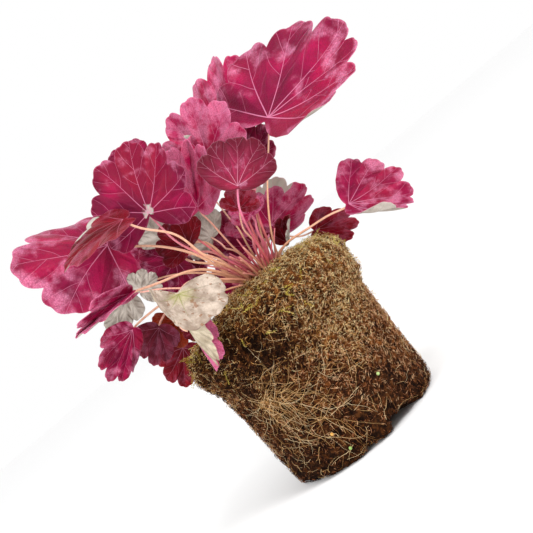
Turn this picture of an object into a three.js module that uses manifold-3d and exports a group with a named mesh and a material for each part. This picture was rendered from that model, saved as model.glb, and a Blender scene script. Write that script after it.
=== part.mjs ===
// A coral bells plant (Heuchera) knocked out of its nursery pot.
// The root ball still has the pot's tapered shape and stands on its flat base.
// A woody crown stands in a round hole in the soil, and carries every leaf stalk.
// Each leaf blade is a body of its own, just clear of the tip of its stalk.
//
// Millimetres and degrees, +Z up, origin at the centre of the root ball's base.
import * as THREE from "three";
import { mergeVertices } from "three/addons/utils/BufferGeometryUtils.js";
import Module from "manifold-3d";

const wasm = await Module();
wasm.setup();

// ---------------------------------------------------------------------------
// Driving dimensions
// ---------------------------------------------------------------------------

// Root ball: [radius, height] from the flat base, up the wall, round the mossy
// collar and over the rim, towards the middle of the top.
const BALL_PROFILE = [
  [57.5, 0],
  [61.5, 3.5],
  [62.5, 30],
  [63.5, 60],
  [64.5, 86],
  [68.5, 95],
  [70.5, 106],
  [69.0, 117],
  [61.0, 123],
  [46.0, 124.5],
  [28.0, 125],
];
const BALL_SIDES = 40;
const BALL_TOP = 125;
const COLLAR_BOTTOM = 90;
const WALL_LUMP = 0.7;
const COLLAR_LUMP = 2.2;
const MOUND_HEIGHT = 12;
const MOUND_SPREAD = 34;
const MOUND_X = 0;
const RIM_TILT = 0.055;

// Coarse roots that lie along the wall, half sunk in the soil.
const ROOT_COUNT = 12;
const ROOT_RADIUS = 0.95;
const ROOT_SIDES = 3;
const ROOT_STEPS = 6;
const ROOT_LENGTH = 52;
const ROOT_DRIFT = 0.5;

// Slow-release fertiliser beads, each in a dimple in the wall: [angle, height].
const BEAD_RADIUS = 1.5;
const BEAD_PLACES = [
  [-107, 26],
  [-104, 11],
  [-61, 36],
];

// Crown and the hole that it stands in.
const CROWN_X = 15;
const CROWN_RADIUS = 23;
const CROWN_FLOOR = 112;
const CROWN_EDGE = 131;
const CROWN_TOP = 139;
const CROWN_SIDES = 24;
const GAP = 0.3;

// Leaf stalks.
const STALK_SIDES = 5;
const STALK_STEPS = 8;
const STALK_FOOT_RADIUS = 1.55;
const STALK_TIP_RADIUS = 1.15;
const STALK_FOOT_HEIGHT = 130;
const STALK_FOOT_REACH = 14;

// Leaf blades.
const BLADE_THICKNESS = 0.8;
const LARGE_LEAF = 50;
const NOTCHES = [20, 61, 102, 150];
const STEPS_PER_LOBE = 4;
const SINUS_STEPS = 2;
const SINUS_RADIUS = 0.05;
const SINUS_POWER = 2.5;
const LOBE_DEPTH = 0.15;
const TOOTH_DEPTH = 0.035;

const MAGENTA = "#a3285c";
const BURGUNDY = "#6b1230";
const PURPLE = "#7d2a55";
const ORANGE = "#a04a28";
const DRIED = "#c9b8a4";
const STALK_TAN = "#cc8a68";
const SOIL = "#3a2a1c";
const BEAD_YELLOW = "#c08a35";

// One row for each leaf.
//   at     where the stalk meets the blade
//   mid    which way the midrib points
//   face   roughly which way the upper side looks
//   size   length of the midrib from the stalk to the tip
//   lobes  5 or 7, lobing, how deep their notches are against most leaves', and
//          spread, the share of a flat leaf's angles that they open to, with
//          rightSpread for a right half that opens less
//   width  breadth of the leaf, as a share of a round leaf's
//   left, right   how far each half bends up over a midrib's length
//   fold   how far both halves stand up from the midrib
//   arch   how far the tip bends up
//   cup    rise of the margin, and wave its undulation, as shares of size
//   rise   how steeply the stalk leaves the crown, from 0 to 1
//   enter  which way the stalk runs where it meets the blade, if not from behind
const LEAVES = [
  // The tall group on the right.
  { at: [89, 0, 217], mid: [1, -0.15, 0.14], face: [-0.12, -0.72, 0.69],
    size: 85, lobes: 7, width: 0.95, right: 50, rightSpread: 0.5 },
  { at: [66, 66, 230], mid: [0.45, 0.1, 0.89], face: [-0.59, -0.64, 0.49],
    size: 65, width: 0.9, rightSpread: 0.75 },
  { at: [60, 31, 204], mid: [0.6, 0.1, 0.78], face: [-0.2, -0.9, 0.2], size: 33, width: 0.8 },
  { at: [38, 24, 225], mid: [0.42, -0.1, 0.9], face: [-0.4, -0.85, 0.35], size: 46 },
  { at: [9, 14, 201], mid: [0.52, -0.15, 0.84], face: [-0.1, -0.97, 0],
    size: 53, fold: 52, spread: 0.8, width: 0.9 },
  { at: [39, -46, 191], mid: [0.52, 0.45, 0.68], face: [0.29, -0.86, 0.35],
    size: 40, lobing: 0.7, spread: 0.72, width: 0.85, color: BURGUNDY },

  // The left group, which leans out over the collar.
  { at: [-19, -28, 217], mid: [0.38, 0.1, 0.93], face: [0, -0.98, 0.2],
    size: 52, lobes: 7, width: 0.88, right: 50, rightSpread: 0.8 },
  { at: [-33, -54, 222], mid: [-0.95, -0.2, 0.25], face: [-0.25, -0.4, 0.88],
    size: 52, width: 0.7, arch: -42, color: BURGUNDY },
  { at: [-57, -10, 220], mid: [-0.9, -0.2, 0.39], face: [-0.2, -0.85, 0.5],
    size: 68, spread: 1.15, width: 0.8, left: -80, right: -100 },
  { at: [-60, -60, 182], mid: [-1, -0.2, 0], face: [0, -1, 0.2],
    size: 45, fold: 64, spread: 0.7, width: 0.55 },
  { at: [-82, -10, 163], mid: [-0.9, -0.2, -0.43], face: [0, -1, 0],
    size: 40, left: -220, spread: 0.62, rightSpread: 0.8, width: 0.54 },
  { at: [-71, 20, 152], mid: [-0.74, 0.1, -0.67], face: [0, -1, 0], size: 29, width: 0.7, color: PURPLE },
  { at: [-70, 44, 128], mid: [-0.58, 0.2, -0.81], face: [0, -1, 0], size: 32, width: 0.8, color: BURGUNDY },
  { at: [-36, -64, 161], mid: [-0.12, -0.7, -0.71], face: [0.48, -0.67, 0.57],
    size: 34, lobing: 0.5, spread: 1.15, rightSpread: 0.8, width: 1.1, right: 90, color: DRIED },
  { at: [-45, -68, 139], mid: [-0.12, -0.1, -0.99], face: [0.77, -0.3, -0.64],
    size: 32, fold: 60, width: 0.6, rise: 0.5 },
  { at: [-60, -14, 180], mid: [0.98, 0.1, 0.17], face: [0, 1, 0.3], size: 17, enter: [-0.7, 0.5, 0.5] },
  { at: [-73, 15, 185], mid: [-0.94, 0.1, -0.33], face: [0, 1, 0], size: 30, width: 0.7 },
  { at: [-31, 48, 183], mid: [-0.94, 0.1, -0.32], face: [0, -1, 0.1], size: 34 },
  { at: [-59, 36, 147], mid: [-0.89, 0, -0.46], face: [0, -1, 0.1], size: 22, color: ORANGE },
  { at: [-48, 18, 135], mid: [-0.85, 0.3, 0.5], face: [0, -1, 0.1], size: 14, color: BURGUNDY },

  // Behind the stalks, from left to right.
  { at: [-37, 60, 211], mid: [-1, 0, 0.2], face: [0, -0.9, 0.3], size: 28 },
  { at: [-23, 45, 200], mid: [0.16, 0.1, 0.98], face: [0, 1, 0.2], size: 28 },
  { at: [-15, 20, 184], mid: [-0.33, 0.1, 0.94], face: [0, -1, 0.2], size: 26, color: BURGUNDY },
  { at: [1, 60, 179], mid: [-0.43, 0, 0.9], face: [0, 1, 0.1], size: 26 },
  { at: [-34, 66, 158], mid: [-0.3, 0.2, 0.93], face: [0, -1, 0.1], size: 26 },
  { at: [31, -4, 180], mid: [0.69, 0.2, 0.72], face: [0.1, -0.9, 0.3], size: 18, color: BURGUNDY },
  { at: [35, 16, 172], mid: [0, 0.2, 0.98], face: [0, -1, 0.2], size: 18 },
  { at: [43, 54, 156], mid: [0.97, 0.1, 0.2], face: [0, -0.9, 0.4], size: 42, spread: 0.85, right: 90 },
  { at: [43, 24, 139], mid: [0.69, 0, 0.72], face: [-0.5, -0.8, 0.2],
    size: 21, fold: 40, left: 60, right: 60, rise: 0.95, color: BURGUNDY },

  // The two that lean out on the right.
  { at: [92, -15, 133], mid: [0.87, -0.1, -0.49], face: [0.2, -0.8, 0.5],
    size: 46, lobes: 7, spread: 0.64, right: 120, rightSpread: 0.4 },
  { at: [68, 66, 131], mid: [0.86, -0.1, -0.51], face: [0, -1, 0.2],
    size: 35, width: 0.6, rise: 0.95, color: BURGUNDY },

  // The far side.
  { at: [22, 74, 204], mid: [-0.1, 0.95, 0.3], face: [0, -0.3, 0.95], size: 50 },
  { at: [60, 86, 122], mid: [0.6, 0.8, -0.3], face: [0.1, 0.3, 0.9], size: 36 },
  { at: [5, 95, 124], mid: [-0.1, 0.8, -0.6], face: [0, 0.6, 0.8], size: 40 },
  { at: [-45, 80, 150], mid: [-0.5, 0.8, 0.1], face: [0, -0.1, 0.99], size: 36 },
  { at: [-21, 91, 177], mid: [-0.2, 0.9, 0.3], face: [0, -0.3, 0.95], size: 44 },
  { at: [24, 80, 152], mid: [-0.25, 0.35, 0.88], face: [0, -0.85, 0.5], size: 44 },

  // Behind the left group and between the stalks.
  { at: [-14, 30, 244], mid: [0.6, 0.1, 0.8], face: [0, -0.95, 0.2], size: 34 },
  { at: [-8, 71, 138], mid: [0, 0.2, 1], face: [0, -1, 0.1], size: 24 },
  { at: [28, 66, 162], mid: [0.5, 0.1, 0.85], face: [0, -0.95, 0.2], size: 26 },
];

const DEFAULTS = {
  lobes: 5, lobing: 1, spread: 0.9, width: 1, left: 0, right: 0, fold: 0, arch: 0, cup: 0.03, wave: 0.04,
  rise: 0.8, color: MAGENTA,
};

// ---------------------------------------------------------------------------
// Solids
// ---------------------------------------------------------------------------

const radians = THREE.MathUtils.degToRad;

// Repeatable random numbers between 0 and 1.
function seededRandom(seed) {
  let state = seed;
  return () => {
    state = (state + 0x6d2b79f5) | 0;
    let mixed = Math.imul(state ^ (state >>> 15), 1 | state);
    mixed = (mixed + Math.imul(mixed ^ (mixed >>> 7), 61 | mixed)) ^ mixed;
    return ((mixed ^ (mixed >>> 14)) >>> 0) / 4294967296;
  };
}

function geometryFrom(points, triangles) {
  const geometry = new THREE.BufferGeometry();
  const numbers = points.flatMap((point) => [point.x, point.y, point.z]);
  geometry.setAttribute("position", new THREE.Float32BufferAttribute(numbers, 3));
  geometry.setIndex(triangles.flat());
  return geometry;
}

// A closed skin over rings of points, with a fan on a middle point at each end.
// Rings run anticlockwise seen from the last ring.
function loft(rings, firstMiddle, lastMiddle) {
  const sides = rings[0].length;
  const points = [...rings.flat(), firstMiddle, lastMiddle];
  const first = points.length - 2;
  const last = points.length - 1;
  const top = (rings.length - 1) * sides;
  const triangles = [];
  for (let side = 0; side < sides; side += 1) {
    const next = (side + 1) % sides;
    triangles.push([first, next, side]);
    triangles.push([last, top + side, top + next]);
    for (let ring = 0; ring < rings.length - 1; ring += 1) {
      const low = ring * sides;
      const high = low + sides;
      triangles.push([low + side, low + next, high + next]);
      triangles.push([low + side, high + next, high + side]);
    }
  }
  return geometryFrom(points, triangles);
}

function solidOf(geometry) {
  const bare = geometry.clone();
  bare.deleteAttribute("normal");
  bare.deleteAttribute("uv");
  const merged = mergeVertices(bare, 1e-4);
  const mesh = new wasm.Mesh({
    numProp: 3,
    vertProperties: new Float32Array(merged.attributes.position.array),
    triVerts: new Uint32Array(merged.index.array),
  });
  return new wasm.Manifold(mesh);
}

function geometryOf(solid) {
  const mesh = solid.getMesh();
  const geometry = new THREE.BufferGeometry();
  const positions = new Float32Array(mesh.numVert * 3);
  for (let vertex = 0; vertex < mesh.numVert; vertex += 1) {
    for (let axis = 0; axis < 3; axis += 1) {
      positions[vertex * 3 + axis] = mesh.vertProperties[vertex * mesh.numProp + axis];
    }
  }
  geometry.setAttribute("position", new THREE.BufferAttribute(positions, 3));
  geometry.setIndex(new THREE.BufferAttribute(new Uint32Array(mesh.triVerts), 1));
  return geometry;
}

function namedMesh(name, geometry, color, roughness) {
  geometry.computeVertexNormals();
  const material = new THREE.MeshStandardMaterial({ color, roughness, metalness: 0 });
  const mesh = new THREE.Mesh(geometry, material);
  mesh.name = name;
  return mesh;
}

// A round tube along a curve, with a radius that changes evenly to its tip.
function taperedTube(curve, steps, sides, footRadius, tipRadius) {
  const frames = curve.computeFrenetFrames(steps, false);
  const rings = [];
  for (let step = 0; step <= steps; step += 1) {
    const share = step / steps;
    const middle = curve.getPoint(share);
    const radius = THREE.MathUtils.lerp(footRadius, tipRadius, share);
    const ring = [];
    for (let side = 0; side < sides; side += 1) {
      const turn = (side / sides) * Math.PI * 2;
      const point = middle.clone();
      point.addScaledVector(frames.normals[step], Math.cos(turn) * radius);
      point.addScaledVector(frames.binormals[step], Math.sin(turn) * radius);
      ring.push(point);
    }
    rings.push(ring);
  }
  return loft(rings, curve.getPoint(0), curve.getPoint(1));
}

// ---------------------------------------------------------------------------
// Root ball
// ---------------------------------------------------------------------------

// How far the soil stands out at a place on the wall or the collar.
function lump(turn, height) {
  const slow = Math.sin(3 * turn + 0.035 * height) + 0.8 * Math.sin(5 * turn - 0.06 * height + 2);
  const quick = 0.7 * Math.sin(11 * turn + 0.11 * height + 1) + 0.5 * Math.sin(17 * turn - 0.2 * height);
  const rise = THREE.MathUtils.smoothstep(height, COLLAR_BOTTOM - 8, COLLAR_BOTTOM + 8);
  return (slow + quick) * THREE.MathUtils.lerp(WALL_LUMP, COLLAR_LUMP, rise) * 0.6;
}

function mound(x, y) {
  const away = (x - MOUND_X) ** 2 + y ** 2;
  return MOUND_HEIGHT * Math.exp(-away / (2 * MOUND_SPREAD ** 2));
}

function ballPoint(radius, height, turn) {
  const onBase = height <= 0;
  const inner = height >= BALL_TOP - 2 && radius < 62;
  const reach = radius + (onBase ? 0 : lump(turn, height) * (inner ? 0.4 : 1));
  const x = reach * Math.cos(turn);
  const y = reach * Math.sin(turn);
  const lift = THREE.MathUtils.smoothstep(height, COLLAR_BOTTOM, BALL_TOP);
  const z = height + lift * (mound(x, y) + RIM_TILT * x);
  return new THREE.Vector3(x, y, onBase ? 0 : z);
}

function wallRadius(height) {
  for (let row = 1; row < BALL_PROFILE.length; row += 1) {
    const [highRadius, high] = BALL_PROFILE[row];
    const [lowRadius, low] = BALL_PROFILE[row - 1];
    if (height <= high) {
      return THREE.MathUtils.mapLinear(height, low, high, lowRadius, highRadius);
    }
  }
  return BALL_PROFILE[BALL_PROFILE.length - 1][0];
}

function ballBody() {
  const rings = BALL_PROFILE.map(([radius, height]) => {
    const ring = [];
    for (let side = 0; side < BALL_SIDES; side += 1) {
      ring.push(ballPoint(radius, height, (side / BALL_SIDES) * Math.PI * 2));
    }
    return ring;
  });
  return loft(rings, new THREE.Vector3(0, 0, 0), ballPoint(0, BALL_TOP, 0));
}

// One coarse root that wanders down the wall from a seeded start.
function rootStrand(random) {
  const start = random() * Math.PI * 2;
  const top = 34 + random() * 48;
  const drift = (random() - 0.5) * 2 * ROOT_DRIFT;
  const swing = (random() - 0.5) * 0.12;
  const length = Math.min(ROOT_LENGTH, top - 8);
  const stops = [];
  for (let step = 0; step <= ROOT_STEPS; step += 1) {
    const share = step / ROOT_STEPS;
    const height = top - share * length;
    const turn = start + drift * share + swing * Math.sin(share * 9);
    const sunk = step === 0 || step === ROOT_STEPS ? 2.5 : 0.1;
    const reach = wallRadius(height) + lump(turn, height) - sunk;
    stops.push(new THREE.Vector3(reach * Math.cos(turn), reach * Math.sin(turn), height));
  }
  const curve = new THREE.CatmullRomCurve3(stops);
  return taperedTube(curve, ROOT_STEPS, ROOT_SIDES, ROOT_RADIUS, ROOT_RADIUS * 0.7);
}

function beadCentre([angle, height]) {
  const turn = radians(angle);
  const reach = wallRadius(height) + lump(turn, height) + BEAD_RADIUS * 0.3;
  return new THREE.Vector3(reach * Math.cos(turn), reach * Math.sin(turn), height);
}

function ballAt(centre, radius) {
  const geometry = new THREE.IcosahedronGeometry(radius, 1);
  geometry.translate(centre.x, centre.y, centre.z);
  return geometry;
}

function rootBall() {
  const random = seededRandom(41);
  let solid = solidOf(ballBody());
  for (let strand = 0; strand < ROOT_COUNT; strand += 1) {
    solid = solid.add(solidOf(rootStrand(random)));
  }
  const depth = 60;
  const hole = new THREE.CylinderGeometry(CROWN_RADIUS + GAP, CROWN_RADIUS + GAP, depth, CROWN_SIDES);
  hole.rotateX(Math.PI / 2);
  hole.translate(CROWN_X, 0, CROWN_FLOOR - GAP + depth / 2);
  solid = solid.subtract(solidOf(hole));
  for (const place of BEAD_PLACES) {
    solid = solid.subtract(solidOf(ballAt(beadCentre(place), BEAD_RADIUS + GAP + 0.1)));
  }
  return namedMesh("root_ball", geometryOf(solid), SOIL, 0.95);
}

// ---------------------------------------------------------------------------
// Leaves
// ---------------------------------------------------------------------------

// The angles from the midrib of the notches on one half of a leaf, left above zero.
function notchAngles(leaf, half) {
  const spread = half < 0 ? leaf.rightSpread : leaf.spread;
  return NOTCHES.slice(0, (leaf.lobes + 1) / 2).map((notch) => notch * spread);
}

// Distance from the stalk to the margin, as a share of the midrib, at an angle
// in degrees from the midrib. Each lobe has three round teeth.
function outline(leaf, angle) {
  const side = Math.min(Math.abs(angle), 180);
  const body = 0.82 + 0.18 * Math.cos(radians(side));
  const notches = notchAngles(leaf, angle);
  const last = notches[notches.length - 1];
  if (side >= last) {
    const open = (180 - side) / (180 - last);
    const notched = body * (1 - leaf.lobing * (LOBE_DEPTH + TOOTH_DEPTH));
    return THREE.MathUtils.lerp(SINUS_RADIUS, notched, open ** SINUS_POWER);
  }
  let low = -notches[0];
  let high = notches[0];
  for (let lobe = 1; lobe < notches.length && side > high; lobe += 1) {
    low = high;
    high = notches[lobe];
  }
  const across = (2 * (side - low)) / (high - low) - 1;
  const tooth = Math.abs(Math.sin(1.5 * Math.PI * (across + 1)));
  const cut = LOBE_DEPTH * Math.abs(across) ** 2.4 + TOOTH_DEPTH * (1 - tooth);
  return body * (1 - leaf.lobing * cut);
}

function halfAngles(leaf, half) {
  const angles = [];
  const notches = notchAngles(leaf, half);
  let low = -notches[0];
  for (const notch of notches) {
    for (let step = 1; step <= STEPS_PER_LOBE; step += 1) {
      angles.push(low + ((notch - low) * step) / STEPS_PER_LOBE);
    }
    low = notch;
  }
  for (let step = 1; step < SINUS_STEPS; step += 1) {
    angles.push(low + ((180 - low) * step) / SINUS_STEPS);
  }
  return angles.filter((angle) => angle > 0.01);
}

function outlineAngles(leaf) {
  const right = halfAngles(leaf, -1).map((angle) => -angle);
  return [0, ...halfAngles(leaf, 1), 180, ...right.reverse()];
}

// Carries a point (along, height) over a strip that starts at one slope and
// bends by a steady rate.
function bend(along, height, start, rate) {
  const slope = start + rate * along;
  const flat = Math.abs(rate) < 1e-6;
  const run = flat ? along * Math.cos(start) : (Math.sin(slope) - Math.sin(start)) / rate;
  const climb = flat ? along * Math.sin(start) : (Math.cos(start) - Math.cos(slope)) / rate;
  return [run - height * Math.sin(slope), climb + height * Math.cos(slope)];
}

// The leaf's middle surface: forward and sideways are measured on the flat leaf.
function leafSurface(leaf, forward, sideways) {
  const away = Math.hypot(forward, sideways) / leaf.size;
  const turn = Math.atan2(sideways, forward);
  const ripple = Math.cos(4.4 * turn + leaf.seed) + 0.6 * Math.sin(9 * turn + 2 * leaf.seed);
  const height = leaf.size * away ** 2 * (leaf.cup + leaf.wave * ripple);
  const rate = radians(sideways > 0 ? leaf.left : leaf.right) / leaf.size;
  const [reach, lifted] = bend(Math.abs(sideways), height, radians(leaf.fold), rate);
  const [run, climb] = bend(forward, lifted, 0, radians(leaf.arch) / leaf.size);
  const point = leaf.origin.clone();
  point.addScaledVector(leaf.midrib, run);
  point.addScaledVector(leaf.across, Math.sign(sideways) * reach);
  point.addScaledVector(leaf.upward, climb);
  return point;
}

function leafNormal(leaf, forward, sideways) {
  const step = leaf.size * 0.02;
  const along = leafSurface(leaf, forward + step, sideways);
  along.sub(leafSurface(leaf, forward - step, sideways));
  const over = leafSurface(leaf, forward, sideways + step);
  over.sub(leafSurface(leaf, forward, sideways - step));
  return along.cross(over).normalize();
}

// Fills in a row of the table: its defaults, its seed and its own axes.
function prepareLeaf(row, index) {
  const leaf = { ...DEFAULTS, ...row, seed: index * 1.7 };
  leaf.rightSpread ??= leaf.spread;
  leaf.origin = new THREE.Vector3(...row.at);
  leaf.midrib = new THREE.Vector3(...row.mid).normalize();
  leaf.upward = new THREE.Vector3(...row.face);
  leaf.upward.addScaledVector(leaf.midrib, -leaf.upward.dot(leaf.midrib)).normalize();
  leaf.across = leaf.upward.clone().cross(leaf.midrib);
  leaf.name = `leaf_${String(index + 1).padStart(2, "0")}`;
  return leaf;
}

// Rings of [forward, sideways] points, from near the stalk out to the margin.
// The first ring has half as many points.
function bladeRings(leaf) {
  const shares = leaf.size > LARGE_LEAF ? [0.38, 0.7, 1] : [0.5, 1];
  const angles = outlineAngles(leaf);
  return shares.map((share, ring) => {
    const used = ring === 0 ? angles.filter((_, index) => index % 2 === 0) : angles;
    return used.map((angle) => {
      const reach = share * leaf.size * outline(leaf, angle);
      return [reach * Math.cos(radians(angle)), leaf.width * reach * Math.sin(radians(angle))];
    });
  });
}

// Triangles of the flat pattern, counted from the middle point outwards.
function bladePattern(rings) {
  const triangles = [];
  const firstCount = rings[0].length;
  for (let side = 0; side < firstCount; side += 1) {
    triangles.push([0, 1 + side, 1 + ((side + 1) % firstCount)]);
  }
  let inner = 1;
  for (let ring = 1; ring < rings.length; ring += 1) {
    const outer = inner + rings[ring - 1].length;
    const innerCount = rings[ring - 1].length;
    const outerCount = rings[ring].length;
    const ratio = outerCount / innerCount;
    for (let side = 0; side < innerCount; side += 1) {
      const near = inner + side;
      const nearNext = inner + ((side + 1) % innerCount);
      for (let part = 0; part < ratio; part += 1) {
        const here = outer + side * ratio + part;
        const next = outer + ((side * ratio + part + 1) % outerCount);
        triangles.push([part === 0 ? near : nearNext, here, next]);
      }
      triangles.push([near, outer + ((side * ratio + 1) % outerCount), nearNext]);
    }
    inner = outer;
  }
  return triangles;
}

function blade(leaf) {
  const rings = bladeRings(leaf);
  const flat = [[0, 0], ...rings.flat()];
  const count = flat.length;
  const upper = [];
  const lower = [];
  for (const [forward, sideways] of flat) {
    const middle = leafSurface(leaf, forward, sideways);
    const normal = leafNormal(leaf, forward, sideways);
    upper.push(middle.clone().addScaledVector(normal, BLADE_THICKNESS / 2));
    lower.push(middle.clone().addScaledVector(normal, -BLADE_THICKNESS / 2));
  }
  const triangles = [];
  for (const [a, b, c] of bladePattern(rings)) {
    triangles.push([a, b, c], [count + a, count + c, count + b]);
  }
  const edge = rings[rings.length - 1].length;
  const start = count - edge;
  for (let side = 0; side < edge; side += 1) {
    const here = start + side;
    const next = start + ((side + 1) % edge);
    triangles.push([here, count + here, count + next], [here, count + next, next]);
  }
  return namedMesh(leaf.name, geometryFrom([...upper, ...lower], triangles), leaf.color, 0.55);
}

// The stalk runs from the crown to just under the blade.
function stalkCurve(leaf) {
  const behind = leaf.upward.clone().multiplyScalar(0.75).addScaledVector(leaf.midrib, 0.66);
  const arrive = leaf.enter ? new THREE.Vector3(...leaf.enter) : behind;
  arrive.normalize();
  const tilt = Math.sqrt(1 - arrive.dot(leaf.upward) ** 2);
  const clear = BLADE_THICKNESS / 2 + GAP + STALK_TIP_RADIUS * tilt;
  const tip = leaf.origin.clone().addScaledVector(leaf.upward, -clear);
  const outward = new THREE.Vector3(tip.x - CROWN_X, tip.y, 0);
  const reach = Math.min(STALK_FOOT_REACH, outward.length() * 0.3);
  outward.normalize();
  const foot = new THREE.Vector3(CROWN_X, 0, STALK_FOOT_HEIGHT).addScaledVector(outward, reach);
  const length = foot.distanceTo(tip);
  const leave = outward.clone().multiplyScalar(1 - leaf.rise);
  leave.z += leaf.rise;
  leave.normalize();
  const lower = foot.clone().addScaledVector(leave, length * 0.4);
  const upper = tip.clone().addScaledVector(arrive, -length * 0.3);
  return new THREE.CubicBezierCurve3(foot, lower, upper, tip);
}

function crownWithStalks(leaves) {
  const profile = [
    new THREE.Vector2(0, CROWN_FLOOR),
    new THREE.Vector2(CROWN_RADIUS, CROWN_FLOOR),
    new THREE.Vector2(CROWN_RADIUS, CROWN_EDGE),
    new THREE.Vector2(CROWN_RADIUS * 0.6, CROWN_TOP - 1.5),
    new THREE.Vector2(0, CROWN_TOP),
  ];
  const body = new THREE.LatheGeometry(profile, CROWN_SIDES);
  body.rotateX(Math.PI / 2);
  body.translate(CROWN_X, 0, 0);
  let solid = solidOf(body);
  for (const leaf of leaves) {
    const tube = taperedTube(
      stalkCurve(leaf), STALK_STEPS, STALK_SIDES, STALK_FOOT_RADIUS, STALK_TIP_RADIUS,
    );
    solid = solid.add(solidOf(tube));
  }
  return namedMesh("crown_with_stalks", geometryOf(solid), STALK_TAN, 0.6);
}

// ---------------------------------------------------------------------------
// The plant
// ---------------------------------------------------------------------------

const leaves = LEAVES.map(prepareLeaf);
const plant = new THREE.Group();
plant.add(rootBall());
plant.add(crownWithStalks(leaves));
BEAD_PLACES.forEach((place, index) => {
  const geometry = ballAt(beadCentre(place), BEAD_RADIUS);
  plant.add(namedMesh(`fertiliser_bead_${index + 1}`, mergeVertices(geometry), BEAD_YELLOW, 0.5));
});
for (const leaf of leaves) {
  plant.add(blade(leaf));
}

export default plant;
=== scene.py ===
"""The finished look of a heuchera (coral bells) plant with a bare root ball.

Leaf blades, stalks, soil, roots, moss and beads are meshes made here, in the place of the CAD solids.
Lengths are in millimetres and angles in degrees until a mesh is made; Blender's own unit is the metre.
"""
import math

import bpy
import numpy as np
from mathutils import Matrix, Vector
from mathutils.kdtree import KDTree


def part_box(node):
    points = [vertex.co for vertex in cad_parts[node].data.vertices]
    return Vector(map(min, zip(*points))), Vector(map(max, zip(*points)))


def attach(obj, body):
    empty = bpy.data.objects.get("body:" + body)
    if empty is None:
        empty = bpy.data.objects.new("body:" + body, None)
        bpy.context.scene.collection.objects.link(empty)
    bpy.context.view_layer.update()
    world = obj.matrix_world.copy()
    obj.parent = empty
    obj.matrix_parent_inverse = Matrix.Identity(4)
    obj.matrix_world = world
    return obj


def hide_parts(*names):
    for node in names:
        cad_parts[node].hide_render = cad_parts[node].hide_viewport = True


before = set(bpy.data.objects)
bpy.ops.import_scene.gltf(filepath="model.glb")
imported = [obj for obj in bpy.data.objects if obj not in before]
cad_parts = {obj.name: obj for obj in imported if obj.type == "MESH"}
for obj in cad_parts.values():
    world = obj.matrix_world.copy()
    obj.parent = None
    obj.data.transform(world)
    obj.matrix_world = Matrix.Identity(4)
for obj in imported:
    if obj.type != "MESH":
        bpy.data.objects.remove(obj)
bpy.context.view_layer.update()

MM = 0.001
RNG = np.random.default_rng(11)
# Points of one fibre, and a bend too slight to see, which keeps a flat blade from dividing by zero.
SPINDLE_POINTS = 5
ALMOST_FLAT = 1e-8

# === Sizes ===

# Root ball: (radius, height) from the flat base up the wall, round the collar and over the rim.
BALL_PROFILE = np.array([
    (57.5, 0), (61.5, 3.5), (62.5, 30), (63.5, 60), (64.5, 86), (68.5, 95),
    (70.5, 106), (69, 117), (61, 123), (46, 124.5), (28, 125), (0, 125),
], float)
BALL_TOP = 125
COLLAR_BOTTOM = 90
WALL_LUMP = 0.7
COLLAR_LUMP = 2.2
MOUND_HEIGHT = 12
MOUND_SPREAD = 34
RIM_TILT = 0.055

# Distances along that profile, called steps, to its points.
PROFILE_STEPS = np.concatenate([[0], np.cumsum(np.hypot(*np.diff(BALL_PROFILE, axis=0).T))])
WALL_START = PROFILE_STEPS[1]
COLLAR_START = PROFILE_STEPS[4]
RIM_START = PROFILE_STEPS[7]
TOP_END = PROFILE_STEPS[-1]

# Crumbs of peat on the ball, and how many points its mesh has round it and up it.
BALL_AROUND = 380
BALL_UP = 190
CRUMB_SPACING = 3.4
CRUMB_HEIGHT = 1.5
SOIL_DEPTH = 1.6
LOWEST = 0.2

# Wear of the lower edge: chips all round it, and a bite. The bite is nothing at the first of each
# pair, which is an x or the y, and deep at the second.
WORN_HEIGHT = 11
CHIP_HEIGHT = 2.2
CHIP_SHRINK = 0.045
BITE_HEIGHT = 10
BITE_SHRINK = 0.04
BITE_LEFT = (14, 19)
BITE_RIGHT = (44, 28)
BITE_DEPTH = (10, -30)

# Fibres of peat and moss, fine roots and moss shoots.
PEAT_FIBRES = 32000
MOSS_FIBRES = 30000
CLUMP_CONTRAST = 0.4
WALL_RADIUS = 63
ROOT_STEPS = 12
ROOT_WANDER = 0.16
ROOT_STRANDS = 480
# Clusters of fine roots: angle, height, spread and number of strands, and how far each strand runs.
ROOT_CLUSTERS = [
    (-122, 66, 4, 46, 3.4), (-122, 62, 12, 46, 2.6), (-103, 40, 11, 34, 3.0), (-128, 40, 10, 24, 2.4),
    (-64, 57, 3, 14, 1.4), (-75, 99, 4, 16, 1.4), (-92, 112, 5, 18, 1.8), (-70, 78, 4, 14, 1.2),
    (-84, 62, 6, 14, 1.5), (20, 60, 5, 30, 2.6), (95, 50, 8, 40, 2.8), (170, 70, 7, 36, 2.6),
]
SPRIG_COUNT = 90
SPRIG_LEAFLETS = 22
SPRIG_LENGTH = (5, 10)
LEAFLET_LENGTH = 2.3

# Fertiliser beads: their radius, and their colours in the order of the solids.
BEAD_RADIUS = 1.2
BEAD_COLORS = {"bead_yellow": "#c98a20", "bead_green": "#8fae5a", "bead_pale": "#9fba70"}
BEAD_SIDES = 24
BEAD_RINGS = 12

# Crown, stalks, the hairs on them, and the young shoots between them.
CROWN_X = 15
GAP = 0.3
STALK_FOOT_RADIUS = 1.55
STALK_TIP_RADIUS = 1.15
STALK_FLARE = 0.8
STALK_SLIMMER = (0.48, 0.74)
STALK_SWAY = 3.4
STALK_FOOT_HEIGHT = 130
STALK_FOOT_REACH = 14
STALK_STEPS = 48
STALK_SIDES = 10
HAIRS_PER_STALK = 70
HAIR_LENGTH = 1.1
HAIR_RADIUS = 0.045
SHOOT_COUNT = 60
SHOOT_STEPS = 10
SHOOT_REACH = (3, 15)
SHOOT_HEIGHT = (8, 32)
SHOOT_FOOT_RADIUS = 0.95
SHOOT_TIP_RADIUS = 0.5

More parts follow.
